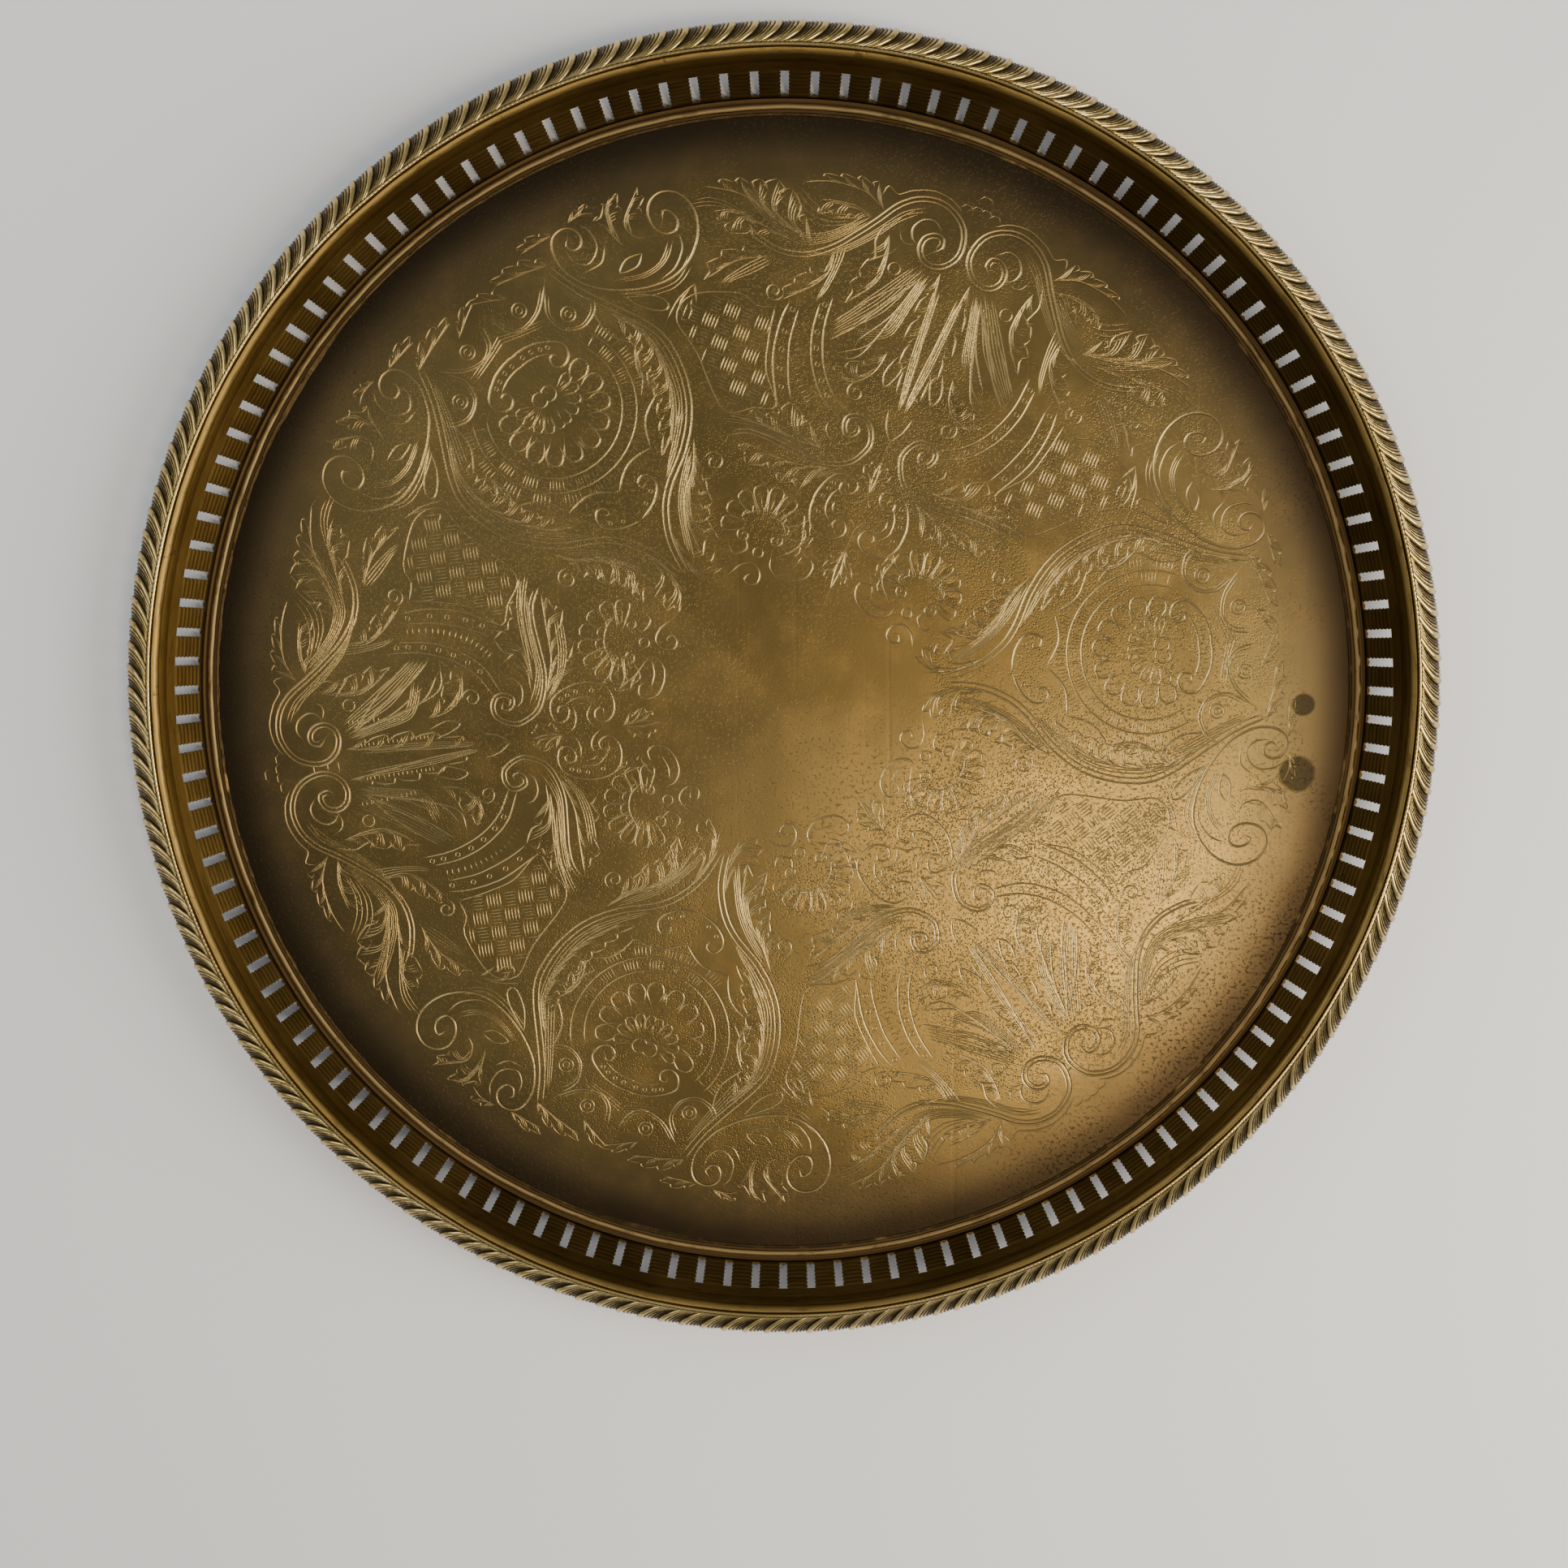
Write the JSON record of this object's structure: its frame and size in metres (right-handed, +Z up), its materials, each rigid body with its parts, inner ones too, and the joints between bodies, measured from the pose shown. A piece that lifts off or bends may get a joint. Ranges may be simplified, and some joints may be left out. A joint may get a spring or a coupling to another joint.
{
  "type": "gallery tray",
  "caption": "Round brass serving tray with an engraved flat floor, a pierced upright gallery wall that flares outward and a sloping gadrooned border.",
  "frame": {"origin": "centre of the flat underside, on the surface the tray stands on", "axes": "+Z up along the tray's axis"},
  "size_m": [0.4059, 0.406, 0.0253],
  "materials": {
    "engraved_brass": "aged satin, toned brown, engraved",
    "wall_brass": "aged, dark brown toning",
    "border_brass": "worn bright on the high places, dark in the hollows",
    "solder": "dull, lumpy hard solder"
  },
  "bodies": {
    "root": {"base_plate": "engraved_brass", "foot_solder": "solder", "foot_bead": "wall_brass", "gallery_band": "wall_brass", "collar_band": "wall_brass", "bead_moulding": "border_brass", "rope_wire": "border_brass", "border_backing": "solder", "gadroon_border": "border_brass"}
  },
  "joints": []
}
